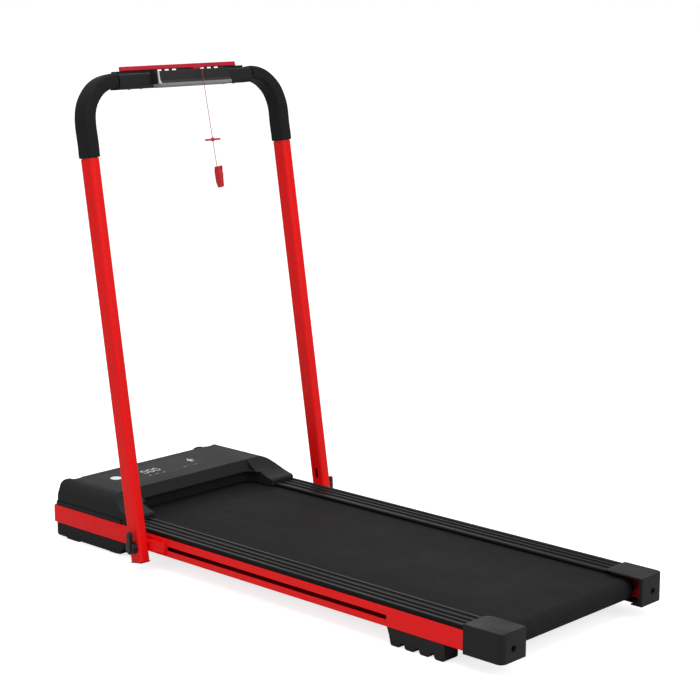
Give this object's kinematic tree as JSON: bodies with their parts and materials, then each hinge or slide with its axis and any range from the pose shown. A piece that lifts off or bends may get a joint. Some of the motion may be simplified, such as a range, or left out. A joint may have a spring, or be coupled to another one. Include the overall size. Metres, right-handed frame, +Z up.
{
  "type": "folding motorised treadmill",
  "caption": "Flat-belt folding treadmill with a low motor hood and a U-shaped handrail that folds down beside the deck, with a tablet tray and a safety key on a lanyard.",
  "frame": {"origin": "on the floor under the middle of the overall length, on the left-right symmetry plane", "axes": "+X towards the open rear end, -X towards the motor hood, -Y the walking user's left, +Z up"},
  "size_m": [1.316, 0.6144, 1.038],
  "materials": {
    "painted_red": "gloss powder coat",
    "black_shell": "fine moulded texture",
    "black_rail": "ribbed satin plastic",
    "belt": "fine diamond texture",
    "foam": "matte closed-cell foam",
    "rubber_feet": "matte",
    "dark_steel": "satin black paint",
    "zinc_steel": "zinc plated",
    "roller_steel": "turned",
    "deck_board": "waxed fibreboard with dark film",
    "motor_can": "satin",
    "alloy": "as cast",
    "crimson": "gloss",
    "red_plastic": "gloss",
    "red_cord": "braided",
    "marks": "lit window",
    "window": "smoked, flush",
    "gloss_black": "gloss",
    "nylon": "natural"
  },
  "bodies": {
    "deck": {"side_rail_left": "painted_red", "side_rail_right": "painted_red", "front_beam": "painted_red", "cross_members": "dark_steel", "hinge_bracket_left": "painted_red", "hinge_bracket_right": "painted_red", "running_deck": "deck_board", "deck_cushions": "rubber_feet", "deck_screws": "zinc_steel", "walking_belt": "belt", "front_axle": "zinc_steel", "rear_axle": "zinc_steel", "roller_adjust_bolts": "zinc_steel", "motor_housing": "motor_can", "motor_bracket": "dark_steel", "drive_belt": "belt", "controller_box": "black_shell", "power_inlet": "gloss_black", "switch_frame": "gloss_black", "motor_hood": "black_shell", "belly_pan": "black_shell", "display_window": "window", "display_marks": "marks", "foot_rail_left": "black_rail", "foot_rail_right": "black_rail", "end_cap_left": "black_shell", "end_cap_right": "black_shell", "rear_feet": "rubber_feet", "front_feet": "rubber_feet", "wheel_brackets": "dark_steel", "wheel_axles": "zinc_steel"},
    "handrail": {"upright_left": "painted_red", "upright_right": "painted_red", "crossbar_tube": "dark_steel", "foam_grips": "foam", "pivot_bushes": "nylon", "upright_plugs": "gloss_black", "tray_base": "black_shell", "tray_frame": "black_shell", "tray_strip": "crimson", "console_housing": "gloss_black"},
    "front_roller": {"front_roller": "roller_steel", "front_bearings": "roller_steel", "roller_pulley": "alloy"},
    "rear_roller": {"rear_roller": "roller_steel", "rear_bearings": "roller_steel"},
    "motor_rotor": {"motor_armature": "roller_steel", "motor_pulley": "alloy"},
    "transport_wheel_left": {"transport_wheel_left": "rubber_feet"},
    "transport_wheel_right": {"transport_wheel_right": "rubber_feet"},
    "lock_knob_left": {"lock_knob_left": "gloss_black"},
    "lock_knob_right": {"lock_knob_right": "gloss_black"},
    "power_switch": {"power_switch": "gloss_black"},
    "reset_button": {"reset_button": "red_plastic"},
    "safety_key": {"safety_key": "red_plastic"},
    "lanyard": {"lanyard_cord": "red_cord", "lanyard_toggle": "red_plastic", "clip_body": "red_plastic", "clip_pin": "zinc_steel"},
    "clip_jaw": {"clip_jaw": "red_plastic"}
  },
  "joints": [
    {"name": "handrail_fold", "type": "hinge", "parent": "deck", "child": "handrail", "pos_m": [-0.2964, 0, 0.0505], "axis": [0, 1, 0], "range_deg": [0, 95.3]},
    {"name": "lock_knob_left_turn", "type": "hinge", "parent": "handrail", "child": "lock_knob_left", "pos_m": [-0.2964, -0.2972, 0.0505], "axis": [0, 1, 0], "range_deg": [0, 110]},
    {"name": "lock_knob_right_turn", "type": "hinge", "parent": "handrail", "child": "lock_knob_right", "pos_m": [-0.2964, 0.2972, 0.0505], "axis": [0, 1, 0], "range_deg": [0, 110]},
    {"name": "front_roller_spin", "type": "hinge", "parent": "deck", "child": "front_roller", "pos_m": [-0.478, 0, 0.0524], "axis": [0, 1, 0], "continuous": true},
    {"name": "rear_roller_spin", "type": "hinge", "parent": "deck", "child": "rear_roller", "pos_m": [0.607, 0, 0.0524], "axis": [0, 1, 0], "continuous": true},
    {"name": "motor_spin", "type": "hinge", "parent": "deck", "child": "motor_rotor", "pos_m": [-0.55, 0.1, 0.072], "axis": [0, 1, 0], "continuous": true},
    {"name": "transport_wheel_left_spin", "type": "hinge", "parent": "deck", "child": "transport_wheel_left", "pos_m": [-0.625, -0.197, 0.086], "axis": [0, 1, 0], "continuous": true},
    {"name": "transport_wheel_right_spin", "type": "hinge", "parent": "deck", "child": "transport_wheel_right", "pos_m": [-0.625, 0.197, 0.086], "axis": [0, 1, 0], "continuous": true},
    {"name": "power_switch_rock", "type": "hinge", "parent": "deck", "child": "power_switch", "pos_m": [-0.61, -0.1195, 0.0225], "axis": [0, 1, 0], "range_deg": [0, 12]},
    {"name": "reset_button_press", "type": "slide", "parent": "deck", "child": "reset_button", "axis": [1, 0, 0], "range_m": [0, 0.003]},
    {"name": "safety_key_pull", "type": "slide", "parent": "handrail", "child": "safety_key", "axis": [-0.1552, 0, 0.9879], "range_m": [0, 0.02]},
    {"name": "lanyard_swing", "type": "hinge", "parent": "safety_key", "child": "lanyard", "pos_m": [-0.41315, 0.014, 1.03572], "axis": [0, 1, 0], "range_deg": [-180, 0]},
    {"name": "clip_open", "type": "hinge", "parent": "lanyard", "child": "clip_jaw", "pos_m": [-0.3506, 0.0191, 0.80567], "axis": [0.9781, 0, 0.2079], "range_deg": [0, 14]}
  ],
  "couplings": [
    {"joint": "rear_roller_spin", "follows": "front_roller_spin", "ratio": 1},
    {"joint": "motor_spin", "follows": "front_roller_spin", "ratio": 2.5},
    {"joint": "lanyard_swing", "follows": "handrail_fold", "ratio": -1.85}
  ]
}
